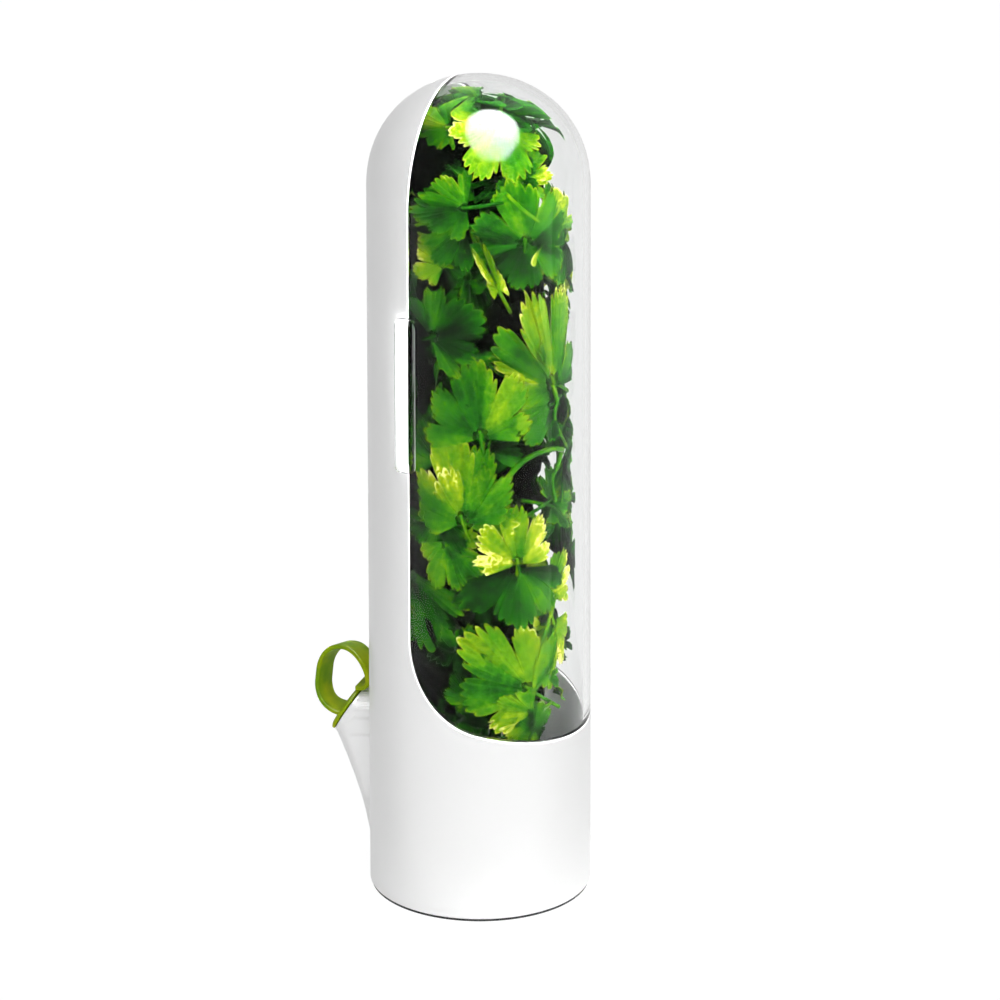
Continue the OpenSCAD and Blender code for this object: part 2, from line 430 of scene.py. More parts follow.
def with_mirror(path):
    """The closed loop: up on the +X side, and back down on the -X side."""
    other = path[-2:0:-1] * np.array([-1, 1, 1])
    return np.vstack([path, other])


# ---------------- the spout as a swelling of the body
SPOUT_RINGS = 24
SPOUT_SIDES = 72
FAIRING_INSET = 0.15
FAIRING_FOOT_Z = 3.0
FAIRING_FOOT_W = 4.5


def curve3(a, b, c, t):
    a, b, c = (np.array(p, float) for p in (a, b, c))
    return (1 - t) ** 2 * a + 2 * t * (1 - t) * b + t * t * c


def spout_tree():
    """The fairing that leads from the body's side to the mouth, to be met by rays."""
    end = MOUTH[1:] - 4 * FAIRING_INSET * MOUTH_OUT[1:]
    end_r = MOUTH_R - FAIRING_INSET
    low, high = end + end_r * MOUTH_DOWN[1:], end - end_r * MOUTH_DOWN[1:]
    foot_z = FAIRING_FOOT_Z
    bend = [BODY_R + 0.09 * (MOUTH[1] - BODY_R + MOUTH_R), foot_z + 0.42 * (low[1] - foot_z)]
    verts = []
    for k in range(SPOUT_RINGS + 1):
        t = k / SPOUT_RINGS
        under = curve3([BODY_R + 0.3, foot_z], bend, low, t)
        top = curve3([BODY_R - 2 * WALL, foot_z], [BODY_R - 3 * WALL, MOUTH[2] - 2 * MOUTH_R], high, t)
        mid, half = (under + top) / 2, (under - top) / 2
        half_w = FAIRING_FOOT_W + (end_r - FAIRING_FOOT_W) * (1 - (1 - t) ** 2)
        for a in turns(SPOUT_SIDES):
            up = sin(a)
            verts.append((half_w * cos(a), mid[0] + half[0] * up, mid[1] + half[1] * up))
    faces = grid_faces(SPOUT_RINGS + 1, SPOUT_SIDES, wrap=True)
    return BVHTree.FromPolygons([Vector(v) for v in verts], faces)


SPOUT = spout_tree()


def spout_reach(angle, z):
    """How far from the axis the spout reaches at that angle from +Y and height, or 0."""
    c, s = cos(angle), sin(angle)
    y_plane = MOUTH[1] - (z - MOUTH[2]) * MOUTH_OUT[2] / MOUTH_OUT[1]
    x_plane = y_plane * s / c
    along = (y_plane - MOUTH[1]) * MOUTH_DOWN[1] + (z - MOUTH[2]) * MOUTH_DOWN[2]
    from_axis = hypot(x_plane, along) / (MOUTH_R - 0.1)
    if from_axis < 1:
        return y_plane / c + 2.0 * (1 - from_axis)
    start = Vector((60 * s, 60 * c, z))
    hit = SPOUT.ray_cast(start, Vector((-s, -c, 0)))
    if hit[0] is None:
        return 0.0
    return hypot(hit[0].x, hit[0].y)


def smooth_max(a, b, k):
    h = np.clip(0.5 + 0.5 * (a - b) / k, 0, 1)
    return b + (a - b) * h + k * h * (1 - h)


SWELL_ANGLE = 0.5
SWELL_LOW, SWELL_HIGH = 2.5, 61.5
SWELL_BLEND = 5.0


def swell(points):
    """Moves the points on the body's outside out to the spout, with a soft blend round it."""
    angle = np.arctan2(points[:, 0], points[:, 1])
    near = (np.abs(angle) < SWELL_ANGLE) & (points[:, 2] < SWELL_HIGH) & (points[:, 2] > SWELL_LOW)
    for i in np.nonzero(near)[0]:
        z = points[i, 2]
        reach = spout_reach(angle[i], z)
        rise = min(1.0, max(0.0, (z - SWELL_LOW) / 14))
        fall = min(1.0, max(0.12, (SWELL_HIGH - z) / 10))
        k = SWELL_BLEND * rise * fall
        full = BODY_R
        if reach > BODY_R - 2 * k:
            full = max(BODY_R, smooth_max(reach, BODY_R - 0.25 * k, max(k, 0.05)))
        points[i, 0] = full * sin(angle[i])
        points[i, 1] = full * cos(angle[i])
    return points


# ---------------- the shell
DENSE_ANGLE = radians(26)
DENSE_COLS = 104
SIDE_COLS = 62
WALL_ROWS = 86
INNER_ROWS = 20
FOOT_EDGE = 0.5


def row_angles(limit):
    """Angles from +limit to -limit, closer together near 0."""
    inner = min(DENSE_ANGLE, 0.5 * limit)
    side = np.linspace(limit, inner, SIDE_COLS, endpoint=False)
    mid = np.linspace(inner, -inner, DENSE_COLS, endpoint=False)
    return np.concatenate([side, mid, [-inner], -side[::-1]])


def level_row(r, a, z):
    """Points at the angles a from +Y, r from the axis."""
    return np.column_stack([r * np.sin(a), r * np.cos(a), np.full(len(a), z)])


def sweep_row(end, share=None):
    """The level row from end to its mirror point: round the back, or in those shares round the front."""
    x, y, z = end
    r = hypot(x, y)
    sign = 1 if share is None else -1
    limit = atan2(x, sign * y)
    a = row_angles(limit) if share is None else share * limit
    return level_row(r, a, z) * np.array([1, sign, 1])


def build_shell():
    loops = edge_loops(1, 0.0)
    outer_end, inner_end = loops[0], loops[-1]
    full = row_angles(pi)

    def circle(r, z):
        return level_row(r, full, z)

    rows = [circle(BODY_R - WALL, LEDGE_Z), circle(LEDGE_R, LEDGE_Z), circle(LEDGE_R, FOOT_Z)]
    for a in np.linspace(0, pi / 2, 5):
        rows.append(circle(BODY_R - FOOT_EDGE * (1 - sin(a)), FOOT_Z + FOOT_EDGE * (1 - cos(a))))
    first = len(rows)
    rows += [circle(BODY_R, z) for z in np.linspace(FOOT_Z + FOOT_EDGE, outer_end[0][2], WALL_ROWS)[1:-1]]
    rows += [sweep_row(p) for p in outer_end]
    cols = len(full)
    verts = np.vstack(rows)
    verts[first * cols:] = swell(verts[first * cols:])
    faces = grid_faces(len(rows), cols)
    inner_rows = [circle(BODY_R - WALL, z) for z in np.linspace(LEDGE_Z, inner_end[0][2], INNER_ROWS)[:-1]]
    inner_rows += [sweep_row(p) for p in inner_end]
    start = len(verts)
    verts = np.vstack([verts] + inner_rows)
    faces += [tuple(reversed(f)) for f in grid_faces(len(inner_rows), cols, start)]
    rim = [with_mirror(p) for p in loops]
    start = len(verts)
    faces += grid_faces(len(rim), len(rim[0]), start, wrap=True)
    verts = np.vstack([verts] + rim)
    obj = clean_up(new_mesh("shell_skin", verts, faces), dist=2e-6)
    # the bore of the spout, and all that stands out beyond its mouth
    bore = [(0, -24.0), (THROAT_R, -24.0), (THROAT_R, 6.0), (0, 6.0)]
    beyond = [(0, -0.05), (14, -0.05), (14, 9), (0, 9)]
    boolean(obj, revolve("throat", bore, 96), "DIFFERENCE")
    boolean(obj, revolve("slab", beyond, 48), "DIFFERENCE")
    return clean_up(obj, sharp=38)


shell = paint(build_shell(), WHITE)


LIP_DEPTH = 4.0
LIP_EDGE = 0.45


def build_lip():
    """The rounded ring round the spout's mouth."""
    inside = [(THROAT_R, -LIP_DEPTH), (THROAT_R, 0)]
    outside = [(MOUTH_R, 0), (MOUTH_R, -2.2), (MOUTH_R - 1.2, -LIP_DEPTH)]
    return revolve("spout_lip", rounded(inside + outside + inside[:1], LIP_EDGE), 128)


lip = paint(build_lip(), WHITE)


# ---------------- the door
DOOR_COLS = 132
DOME_ROWS = 12


def build_door():
    loops = edge_loops(-1, DOOR_GAP)
    share = np.linspace(1, -1, DOOR_COLS + 1)
    verts, faces = [], []
    for which, d in ((0, 0.0), (-1, WALL)):
        rows = [sweep_row(p, share) for p in loops[which]]
        c = SEAM_Y - BAND
        r, h = BODY_R - d, DOME_H - d
        for rho in np.linspace(c, 0, DOME_ROWS)[1:]:
            rows.append(level_row(rho, share * pi, dome_height(rho, r, h)) * np.array([1, -1, 1]))
        start = sum(len(v) for v in verts)
        faces += grid_faces(len(rows), len(share), start)
        verts.append(np.vstack(rows))
    rim = [with_mirror(p) for p in loops]
    start = sum(len(v) for v in verts)
    faces += grid_faces(len(rim), len(rim[0]), start, wrap=True)
    verts += rim
    return clean_up(new_mesh("door_skin", np.vstack(verts), faces), dist=2e-6)


def prism(name, near, far):
    """The closed prism between two equal outlines."""
    n = len(near)
    faces = [tuple(range(n)), tuple(range(2 * n - 1, n - 1, -1))]
    faces += [(i, (i + 1) % n, n + (i + 1) % n, n + i) for i in range(n)]
    return clean_up(new_mesh(name, near + far, faces))


def round_corners(half_a, half_b, radius, steps):
    """The outline of a rectangle about the origin with round corners."""
    out = []
    for sign_a, sign_b, start in ((1, 1, 0), (-1, 1, 90), (-1, -1, 180), (1, -1, 270)):
        for deg in np.linspace(start, start + 90, steps):
            c, s = cos(radians(deg)), sin(radians(deg))
            out.append((sign_a * (half_a - radius) + radius * c, sign_b * (half_b - radius) + radius * s))
    return out


def plate(name, x, y, z, corner, edge):
    """A flat plate across X with round corners and soft edges. x, y and z are its (low, high)."""
    outline = round_corners((y[1] - y[0]) / 2, (z[1] - z[0]) / 2, corner, 7)
    outline = [((y[0] + y[1]) / 2 + a, (z[0] + z[1]) / 2 + b) for a, b in outline]
    near, far = ([(end, a, b) for a, b in outline] for end in x)
    return bevel(prism(name, near, far), edge, 50)


def knuckle(name, side, z):
    """One knuckle with its arm. side is 1 on the shell and -1 on the door."""
    def turned(radius, deg):
        a = radians(deg)
        return radius * cos(a), side * radius * sin(a)

    mid_wall = BODY_R - WALL / 2
    outline = [turned(BODY_R - 0.15, ARM_ANGLE), turned(mid_wall, ARM_ANGLE), turned(mid_wall, 3.5)]
    for deg in np.linspace(150, 395, 28):
        a = radians(deg)
        outline.append((HINGE_REACH + KNUCKLE_R * cos(a), side * KNUCKLE_R * sin(a)))
    c, s = cos(HINGE_TURN), sin(HINGE_TURN)
    outline = [(x * c - y * s, x * s + y * c) for x, y in outline]
    low, high = ([(x, y, level) for x, y in outline] for level in (z, z + KNUCKLE_H))
    return bevel(prism(name, low, high), KNUCKLE_EDGE, 40)


door = build_door()
TAB_Z, TAB_LEN = 177.0, 52.0
TAB_FRONT, TAB_BACK = SEAM_Y - 2.7, SEAM_Y + 3.9
TAB_LOW, TAB_HIGH = TAB_Z - TAB_LEN / 2, TAB_Z + TAB_LEN / 2
ROOT_SHORTER = 2
tab = plate("tab", (-BODY_R, -33.5), (TAB_FRONT, TAB_BACK), (TAB_LOW, TAB_HIGH), 2.0, 0.35)
root_z = (TAB_LOW + ROOT_SHORTER, TAB_HIGH - ROOT_SHORTER)
root = plate("root", (-34.4, -32.4), (TAB_FRONT, SEAM_Y - DOOR_GAP), root_z, 1.0, 0.2)
boolean(door, tab, "UNION")
boolean(door, root, "UNION")
for z in HINGE_Z:
    boolean(door, knuckle("knuckle", -1, z + KNUCKLE_PITCH), "UNION")
clean_up(door, sharp=38)
paint(door, CLEAR)

for k, z in enumerate(HINGE_Z):
    for level in (0, 2):
        piece = knuckle(f"shell_knuckle_{k}{level}", 1, z + level * KNUCKLE_PITCH)
        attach(paint(piece, WHITE), "shell")


# ---------------- the plug
STEM_LEN, STEM_R = 9.0, 6.2
RIB_R, RIB_Z = 6.9, (-6.0, -3.0)
FLANGE_LOW, FLANGE_EDGE, FLANGE_TOP = 0.4, 1.15, 1.8
PLUG_BEVEL, PLUG_EDGE = 1.2, 0.45


def build_plug():
    profile = [(0, -STEM_LEN), (STEM_R - PLUG_BEVEL, -STEM_LEN), (STEM_R, PLUG_BEVEL - STEM_LEN)]
    for z in RIB_Z:
        profile += [(STEM_R, z - 0.6), (RIB_R, z - 0.35), (RIB_R, z + 0.35), (STEM_R, z + 0.6)]
    profile += [(STEM_R, FLANGE_LOW), (MOUTH_R, FLANGE_LOW), (MOUTH_R, FLANGE_EDGE)]
    profile += [(MOUTH_R - PLUG_BEVEL, FLANGE_TOP), (0, FLANGE_TOP)]
    return revolve("plug_skin", rounded(profile, PLUG_EDGE, 4), 128)


LOOP_Y, LOOP_R, LOOP_T, LOOP_W = 45.3, 9.6, 1.5, 9.5
LOOP_HIGH, LOOP_LOW = 63.76, 60.16
LOOP_REACH = 54.85
LOOP_FOOT_R = 2.7
LOOP_EDGE = 0.55
# how the soft loop leans and turns above the flange: the middle that it turns about, over what height
LEAN_ABOUT = np.array([0, LOOP_Y - 1.0, 62.0])
LEAN_FROM, LEAN_OVER = 2.0, 9.0
LEAN, TURN = 12, -10


def loop_line():
    """The band's middle line in the YZ plane, from the flange round to the front foot."""
    r = LOOP_R - LOOP_T / 2
    foot = LOOP_Y - r + LOOP_FOOT_R
    pts = []
    for a in np.linspace(-0.06, pi / 2, 26):
        pts.append((LOOP_Y + r * sin(a), LOOP_LOW - r * cos(a)))
    pts += [(LOOP_Y + r, z) for z in np.linspace(LOOP_LOW, LOOP_HIGH, 6)[1:]]
    for a in np.linspace(0, pi, 44)[1:]:
        pts.append((LOOP_Y + r * cos(a), LOOP_HIGH + r * sin(a)))
    for a in np.linspace(0, pi / 2, 12)[1:]:
        pts.append((foot - LOOP_FOOT_R * cos(a), LOOP_HIGH - LOOP_FOOT_R * sin(a)))
    pts.append((foot + 1.3, LOOP_HIGH - LOOP_FOOT_R - 0.15))
    return np.array(pts)


def build_band():
    line = loop_line()
    section = round_corners(LOOP_W / 2, LOOP_T / 2, LOOP_EDGE, 6)
    verts = []
    for (y, z), (ty, tz) in zip(line, tangents(line)):
        for w, t in section:
            verts.append((w, y - t * tz, z + t * ty))
    verts = np.array(verts)
    n = len(section)
    faces = grid_faces(len(line), n, wrap=True)
    faces += [tuple(range(n)), tuple(range(len(verts) - 1, len(verts) - n - 1, -1))]
    height = (verts - MOUTH) @ MOUTH_OUT
    w = np.clip((height - LEAN_FROM) / LEAN_OVER, 0, 1)
    w = w * w * (3 - 2 * w)
    tilt = Matrix.Rotation(radians(LEAN), 3, "Y")
    tilted = (verts - LEAN_ABOUT) @ np.array(tilt).T
    x, y, z = tilted.T
    by_wall = np.clip((44.0 - verts[:, 1]) / 8.0, 0, 1)
    turn = radians(TURN) * (1 - 1.5 * by_wall)
    c, s = np.cos(turn), np.sin(turn)
    moved = LEAN_ABOUT + np.column_stack([x * c - y * s, x * s + y * c, z])
    verts = verts + w[:, None] * (moved - verts)
    # its outermost part is pressed in to its reach
    out = np.clip((verts[:, 1] - MOUTH[1]) / (LOOP_REACH - MOUTH[1]), 0, 1)
    verts[:, 1] -= out ** 2 * (verts[:, 1].max() - LOOP_REACH)
    return clean_up(new_mesh("plug_loop", verts, faces), sharp=60)


plug = paint(build_plug(), GREEN)
band = paint(build_band(), GREEN)


# ---------------- the herbs
CAM_RIGHT = np.array([0.352, -0.936, 0.0])
CAM_UP = np.array([0.3657, 0.1375, 0.9205])
CAM_BACK = np.array([-0.8616, -0.324, 0.3907])
PX_PER_MM = 3.18
PX_CENTRE = (479.4, 499.7)
AIM_Z = 130.0


def under_dome(point, radius):
    """Whether the point is inside the upright cylinder of that radius with its dome."""
    rho = hypot(point[0], point[1])
    return rho < radius and point[2] < dome_height(rho, radius, radius - 1.0)


def from_view(u, v, radius):
    """The point on the near side of a domed cylinder that the photograph shows at pixel u, v."""
    right, up = (u - PX_CENTRE[0]) / PX_PER_MM, (v - PX_CENTRE[1]) / PX_PER_MM
    p = np.array([0, 0, AIM_Z]) + right * CAM_RIGHT - up * CAM_UP
    near, step = 90.0, 0.5
    while near > 0 and not under_dome(p + near * CAM_BACK, radius):
        near -= step
    return p + near * CAM_BACK


# middle, half width and reach of the tip lobe, the side lobes and the rear lobes, in degrees
LOBES = ((0, 27, 1.0), (47, 20, 0.96), (83, 16, 0.84))
SLITS = (0.27, 0.16)
SLIT_AT, SLIT_HALF = (27, 67), (2.6, 2.4)
TEETH = (7, 6, 4)
LEAF_SPREAD = radians(99)
VEINS = [radians(v) for v in (0, 16, -16, 33, -33, 47, -47, 61, -61, 83, -83)]
LEAF_THICK = 0.22


def leaf_outline(angle, style):
    """Share of the leaf's size at that angle from its tip: lobes with three round teeth, and narrow slits."""
    a = degrees(angle) + 4 * sin(style * 2.7) + 5 * sin(2.2 * angle + style * 1.3)
    side = abs(a)
    k = sum(side >= at for at in SLIT_AT)
    centre, half, reach = LOBES[k]
    x = (side - centre) / half if k else a / half
    x = max(-1.0, min(1.0, x))
    teeth = abs(sin(TEETH[k] / 2 * pi * (x + 1))) ** 0.7
    uneven = 1 + 0.09 * sin(style * 1.9 + 2.1 * k + (1.3 if a > 0 else 0))
    depth = 0.13 + 0.05 * sin(style + a * 0.21)
    wide = reach * uneven * (1 - 0.2 * x * x) * (1 - depth + depth * teeth)
    first, second = (
        deep * exp(-(((side - at) / half) ** 2)) for deep, at, half in zip(SLITS, SLIT_AT, SLIT_HALF))
    return wide * (1 - first * (0.8 + 0.3 * sin(style + (2 if a > 0 else 0))) - second)


def make_leaf(size, style, tone, cup, curl, twist, n_around=231, n_rings=8, squeeze=1.0):
    """One leaf, stalk end at the origin, tip along +Y, upper face to +Z. Returns points, faces and tones."""
    angles = np.linspace(-LEAF_SPREAD, LEAF_SPREAD, n_around)
    edge = np.array([leaf_outline(a, style) for a in angles]) * size
    rings = np.array(list(np.linspace(0, 0.95, n_rings)[1:]) + [1.0])
    a, rho = np.meshgrid(angles, rings)
    r = edge[None, :] * rho
    vein = np.max([np.exp(-(((a - v) * np.maximum(rho, 0.25)) / 0.028) ** 2) for v in VEINS], axis=0)
    wave = np.sin(4 * a + style * 3.1) * 0.06 * size * rho ** 2
    wave += np.sin(13 * a + style) * 0.04 * size * rho ** 3
    fold = 0.09 * size * rho * (np.abs(np.sin(2.25 * a)) - 0.5)
    x, y = r * np.sin(a) * squeeze, r * np.cos(a)
    z = cup * size * rho ** 2 + wave + fold - 0.014 * size * vein * rho
    z += -curl * np.maximum(y, 0) ** 2 / size + twist * x * y / size
    patch = 0.13 * np.sin(2.3 * a + style * 1.7) + 0.07 * np.sin(5.1 * a + style + 3 * rho)
    # painted highlight: the ring at the leaf's edge is made lighter, for the light caught along the teeth
    rim = np.where(rho == 1.0, 0.2, 0.0)
    shades = tone + patch + 0.06 * vein + 0.2 * (rho - 0.65) + rim
    top = np.column_stack([x.ravel(), y.ravel(), z.ravel()])
    tones = list(shades.ravel())
    n = len(top)
    half = np.array([[0, 0, LEAF_THICK / 2]])
    verts = np.vstack([half, -half, top + half, top - half])
    tones = [tone - 0.1] * 2 + tones + tones
    faces = []
    for side, base in ((0, 2), (1, 2 + n)):
        fan = [(side, base + i + 1, base + i) for i in range(n_around - 1)]
        grid = [tuple(reversed(f)) for f in grid_faces(len(rings), n_around, base)]
        faces += fan + grid if side == 0 else [tuple(reversed(f)) for f in fan + grid]
    o = 2 + (len(rings) - 1) * n_around
    faces += [(o + i, o + i + 1, o + i + 1 + n, o + i + n) for i in range(n_around - 1)]
    for k in range(len(rings) - 1):
        a, b = 2 + k * n_around, 2 + (k + 1) * n_around
        faces.append((a, b, b + n, a + n))
        a, b = a + n_around - 1, b + n_around - 1
        faces.append((b, a, a + n, b + n))
    faces.append((0, 2, 2 + n, 1))
    faces.append((2 + n_around - 1, 0, 1, 2 + n_around - 1 + n))
    return verts, faces, tones


HERB_R = 30.3
MIDDLE_R = 26.5
WITHIN_R = 20.5


def keep_in(points, limit=HERB_R):
    """Presses the points into the chamber: its round wall, its dome and the path of the door's edge."""
    rho = np.hypot(points[:, 0], points[:, 1])
    z = points[:, 2]
    level = np.clip((z - DOME_Z) / (limit - 0.2), 0, 0.999)
    room = limit * (1 - level ** DOME_POWER) ** (1 / DOME_POWER)
    start = room * 0.9
    over = np.maximum(rho - start, 0)
    soft = start + (room - start) * (1 - np.exp(-over / np.maximum(room - start, 1e-6)))
    share = np.where(over > 0, soft, rho) / np.maximum(rho, 1e-6)
    points = points * np.column_stack([share, share, np.ones(len(points))])
    points[:, 2] = np.minimum(z, DOME_Z + limit - 0.3)
    wall = np.sqrt(np.maximum((room + 1.8) ** 2 - SEAM_Y ** 2, 0))
    hinge = np.array([HINGE_REACH * cos(HINGE_TURN), SEAM_Y])
    away = points[:, :2] - hinge
    far = np.linalg.norm(away, axis=1)
    least = hinge[0] - wall + 0.5
    short = (points[:, 1] < SEAM_Y) & (far < least)
    points[short, :2] = hinge + away[short] / far[short, None] * least[short, None]
    return points


def set_tones(obj, tones):
    """Writes the leaf attribute, one tone for each point."""
    attribute = obj.data.attributes.new("leaf", "FLOAT", "POINT")
    attribute.data.foreach_set("value", np.array(tones, np.float32))


class Clump:
    """Collects leaves and stems into one mesh that carries the leaf attribute."""

    def __init__(self, name, mat):
        self.name, self.mat = name, mat
        self.verts, self.faces, self.tones, self.count = [], [], [], 0

    def add(self, verts, faces, tones):
        self.faces += [tuple(i + self.count for i in f) for f in faces]
        self.verts.append(verts)
        self.tones += list(tones)
        self.count += len(verts)

    def build(self):
        obj = new_mesh(self.name, np.vstack(self.verts), self.faces)
        set_tones(obj, self.tones)
        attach(paint(obj, self.mat), "shell")


def place(points, origin, tip, normal):
    """Turns local leaf points so that +Y is along tip and +Z along normal."""
    tip = tip / np.linalg.norm(tip)
    side = np.cross(tip, normal)
    side /= np.linalg.norm(side)
    up = np.cross(side, tip)
    return origin + points[:, :1] * side + points[:, 1:2] * tip + points[:, 2:] * up


TUBE_SIDES = 10


def tube(points, radii):
    """A round stem along the points, closed at both ends."""
    points = np.array(points, float)
    tangent = tangents(points)
    side = np.cross(tangent[0], [0.3, 0.9, 0.2])
    verts = []
    for p, t, r in zip(points, tangent, radii):
        side = side - np.dot(side, t) * t
        side /= np.linalg.norm(side)
        other = np.cross(t, side)
        for a in turns(TUBE_SIDES):
            verts.append(p + r * (cos(a) * side + sin(a) * other))
    faces = grid_faces(len(points), TUBE_SIDES, wrap=True)
    n = len(verts)
    faces += [tuple(range(TUBE_SIDES - 1, -1, -1)), tuple(range(n - TUBE_SIDES, n))]
    return np.array(verts), faces


def smooth_line(points, count):
    """A smooth line through the points, by Catmull-Rom pieces."""
    p = np.array([points[0], *points, points[-1]], float)
    out = []
    pieces = len(points) - 1
    for s in np.linspace(0, pieces - 1e-9, count):
        k, t = int(s), s - int(s)
        a, b, c, d = p[k:k + 4]
        square, cube = 2 * a - 5 * b + 4 * c - d, 3 * b - a - 3 * c + d
        out.append(0.5 * (2 * b + (c - a) * t + square * t * t + cube * t ** 3))
    return out


# leaf tones from painted shade, near black, through leaf greens to a pale painted highlight at the top
LEAF_STOPS = [
    (0.0, (0.0006, 0.0012, 0.0002)),
    (0.24, (0.0008, 0.01, 0.0003)),
    (0.42, (0.003, 0.042, 0.0004)),
    (0.57, (0.013, 0.08, 0.0004)),
    (0.71, (0.048, 0.12, 0.0005)),
    (0.84, (0.105, 0.16, 0.001)),
    (0.94, (0.2, 0.24, 0.005)),
    (1.0, (0.42, 0.45, 0.12)),
]
# painted shade: near-black greens for the leaves deep in the bunch, where the shade falls
PAINTED_SHADE_STOPS = [
    (0.0, (0.0006, 0.0008, 0.0006)),
    (0.6, (0.0015, 0.004, 0.001)),
    (1.0, (0.005, 0.02, 0.002)),
]
LEAF = leaf_green("leaf_green", LEAF_STOPS, 0.25, 0.03)
PAINTED_SHADE = leaf_green("leaf_painted_shade", PAINTED_SHADE_STOPS, 0.0, 0.0)

Leaf = namedtuple("Leaf", "stalk tip depth tone width")

# Each leaf that the photograph shows in front: the pixels of its stalk end and of its tip, its depth
# as a radius, its tone, part colour and part painted light and shade, and how far its sides are drawn in
FRONT_LEAVES = [
    Leaf(stalk=(498, 130), tip=(478, 180), depth=29.0, tone=0.74, width=1.0),
    Leaf(stalk=(464, 118), tip=(440, 104), depth=30.0, tone=0.5, width=0.8),
    Leaf(stalk=(470, 104), tip=(452, 88), depth=30.5, tone=0.42, width=0.9),
    Leaf(stalk=(505, 100), tip=(486, 92), depth=29.5, tone=0.36, width=0.7),
    Leaf(stalk=(452, 133), tip=(415, 136), depth=28.0, tone=0.68, width=0.7),
    Leaf(stalk=(532, 127), tip=(505, 94), depth=28.0, tone=0.46, width=0.42),
    Leaf(stalk=(480, 121), tip=(474, 89), depth=26.0, tone=0.42, width=0.8),
    Leaf(stalk=(519, 188), tip=(543, 143), depth=26.5, tone=0.68, width=0.55),
    Leaf(stalk=(525, 247), tip=(517, 186), depth=29.0, tone=0.56, width=1.05),
    Leaf(stalk=(527, 243), tip=(531, 296), depth=28.0, tone=0.42, width=1.15),
    Leaf(stalk=(499, 292), tip=(473, 234), depth=27.0, tone=0.8, width=0.16),
    Leaf(stalk=(468, 212), tip=(414, 209), depth=28.5, tone=0.55, width=0.7),
    Leaf(stalk=(466, 230), tip=(411, 232), depth=28.0, tone=0.5, width=0.8),
    Leaf(stalk=(446, 268), tip=(418, 250), depth=27.5, tone=0.78, width=0.9),
    Leaf(stalk=(549, 232), tip=(575, 276), depth=28.5, tone=0.76, width=0.3),
    Leaf(stalk=(424, 322), tip=(418, 268), depth=27.5, tone=0.32, width=0.9),
    Leaf(stalk=(420, 470), tip=(424, 350), depth=27.0, tone=0.34, width=0.5),
    Leaf(stalk=(433, 338), tip=(480, 318), depth=28.5, tone=0.42, width=1.0),
    Leaf(stalk=(470, 272), tip=(484, 326), depth=23.0, tone=0.3, width=0.35),
    Leaf(stalk=(553, 386), tip=(526, 292), depth=29.0, tone=0.68, width=0.55),
    Leaf(stalk=(556, 384), tip=(506, 360), depth=28.0, tone=0.68, width=0.62),
    Leaf(stalk=(566, 372), tip=(577, 322), depth=27.5, tone=0.62, width=0.5),
    Leaf(stalk=(481, 438), tip=(472, 357), depth=29.0, tone=0.62, width=0.74),
    Leaf(stalk=(552, 404), tip=(512, 410), depth=28.5, tone=0.55, width=0.85),
    Leaf(stalk=(486, 450), tip=(510, 408), depth=26.0, tone=0.38, width=0.8),
    Leaf(stalk=(440, 462), tip=(424, 416), depth=28.0, tone=0.52, width=0.8),
    Leaf(stalk=(572, 440), tip=(566, 378), depth=27.0, tone=0.62, width=0.4),
    Leaf(stalk=(463, 522), tip=(444, 441), depth=29.2, tone=0.71, width=0.66),
    Leaf(stalk=(466, 524), tip=(486, 446), depth=28.7, tone=0.7, width=0.66),
    Leaf(stalk=(446, 540), tip=(462, 592), depth=28.0, tone=0.64, width=0.7),
    Leaf(stalk=(440, 516), tip=(436, 560), depth=28.4, tone=0.42, width=0.9),
    Leaf(stalk=(408, 500), tip=(422, 530), depth=28.0, tone=0.4, width=0.8),
    Leaf(stalk=(517, 563), tip=(509, 503), depth=29.6, tone=0.88, width=0.72),
    Leaf(stalk=(548, 592), tip=(562, 550), depth=28.8, tone=0.86, width=0.8),
    Leaf(stalk=(555, 585), tip=(570, 600), depth=28.0, tone=0.78, width=0.7),
    Leaf(stalk=(518, 566), tip=(508, 632), depth=27.0, tone=0.44, width=1.1),
    Leaf(stalk=(409, 572), tip=(436, 648), depth=28.3, tone=0.56, width=0.75),
    Leaf(stalk=(530, 690), tip=(464, 641), depth=29.2, tone=0.7, width=0.8),
    Leaf(stalk=(535, 714), tip=(488, 722), depth=29.0, tone=0.78, width=0.75),
    Leaf(stalk=(552, 619), tip=(557, 678), depth=28.5, tone=0.82, width=0.5),
    Leaf(stalk=(550, 676), tip=(574, 690), depth=27.5, tone=0.6, width=0.6),
    Leaf(stalk=(549, 500), tip=(566, 462), depth=27.0, tone=0.62, width=0.45),
    Leaf(stalk=(551, 505), tip=(574, 512), depth=27.0, tone=0.6, width=0.5),
    Leaf(stalk=(473, 700), tip=(450, 676), depth=25.0, tone=0.42, width=0.7),
    Leaf(stalk=(510, 738), tip=(540, 728), depth=24.0, tone=0.45, width=0.6),
    Leaf(stalk=(540, 735), tip=(552, 700), depth=22.0, tone=0.5, width=0.6),
    Leaf(stalk=(450, 170), tip=(470, 196), depth=24.0, tone=0.34, width=0.4),
    Leaf(stalk=(430, 160), tip=(446, 172), depth=23.0, tone=0.28, width=0.6),
    Leaf(stalk=(482, 109), tip=(444, 98), depth=31.8, tone=0.6, width=1.1),
]
STALK_POINTS = 14
front = Clump("herb_leaves_front", LEAF)
